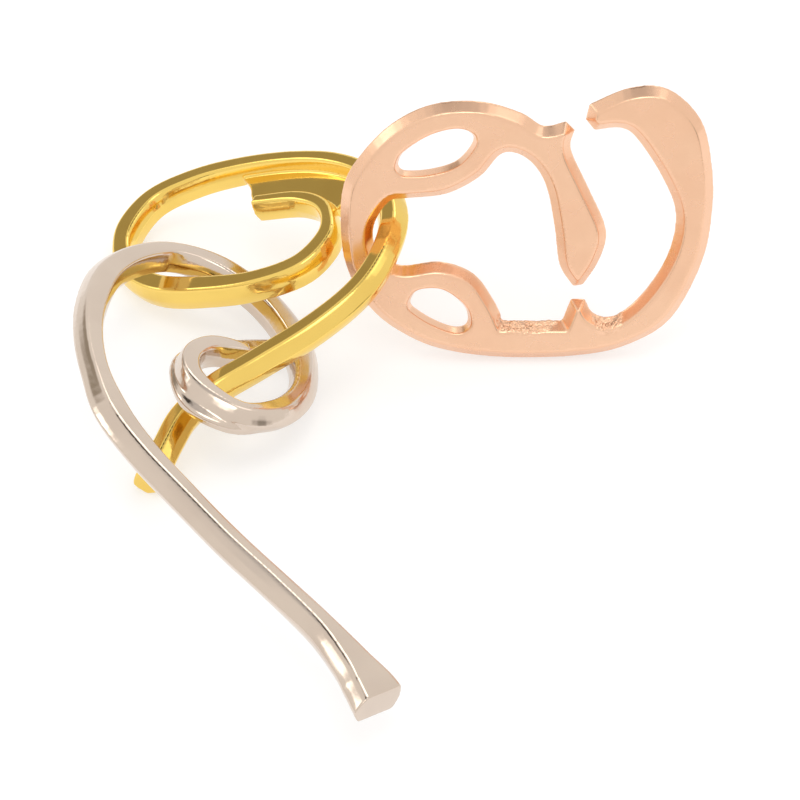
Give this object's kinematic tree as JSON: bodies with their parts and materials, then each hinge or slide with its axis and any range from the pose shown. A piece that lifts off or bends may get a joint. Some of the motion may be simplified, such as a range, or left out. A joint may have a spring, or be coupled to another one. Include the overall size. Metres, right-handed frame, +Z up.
{
  "type": "metal disentanglement puzzle",
  "caption": "Cast metal ring puzzle: a spiral link, a long hook with a coiled end and a flat open plate, hooked loosely through each other.",
  "frame": {"origin": "on the table, below the middle of the whole linked puzzle as it lies", "axes": "+Z up from the table, +Y towards the spiral link, the long hook reaches towards -Y, +X towards the plate"},
  "size_m": [0.0816, 0.1148, 0.0343],
  "materials": {
    "gold_plating": "polished",
    "nickel_plating": "polished",
    "copper_plating": "satin polished"
  },
  "bodies": {
    "spiral": {"gold_spiral": "gold_plating"},
    "hook": {"silver_hook": "nickel_plating"},
    "plate": {"copper_plate": "copper_plating"}
  },
  "joints": [
    {"name": "hook_swing", "type": "hinge", "parent": "spiral", "child": "hook", "pos_m": [-0.021, 0.035, 0.005], "axis": [-0.4315, 0.9021, 0], "range_deg": [0, 60]},
    {"name": "plate_tilt", "type": "hinge", "parent": "spiral", "child": "plate", "pos_m": [-0.003, 0.029, 0.0135], "axis": [0.8419, -0.2004, -0.5011], "range_deg": [0, 60]}
  ]
}
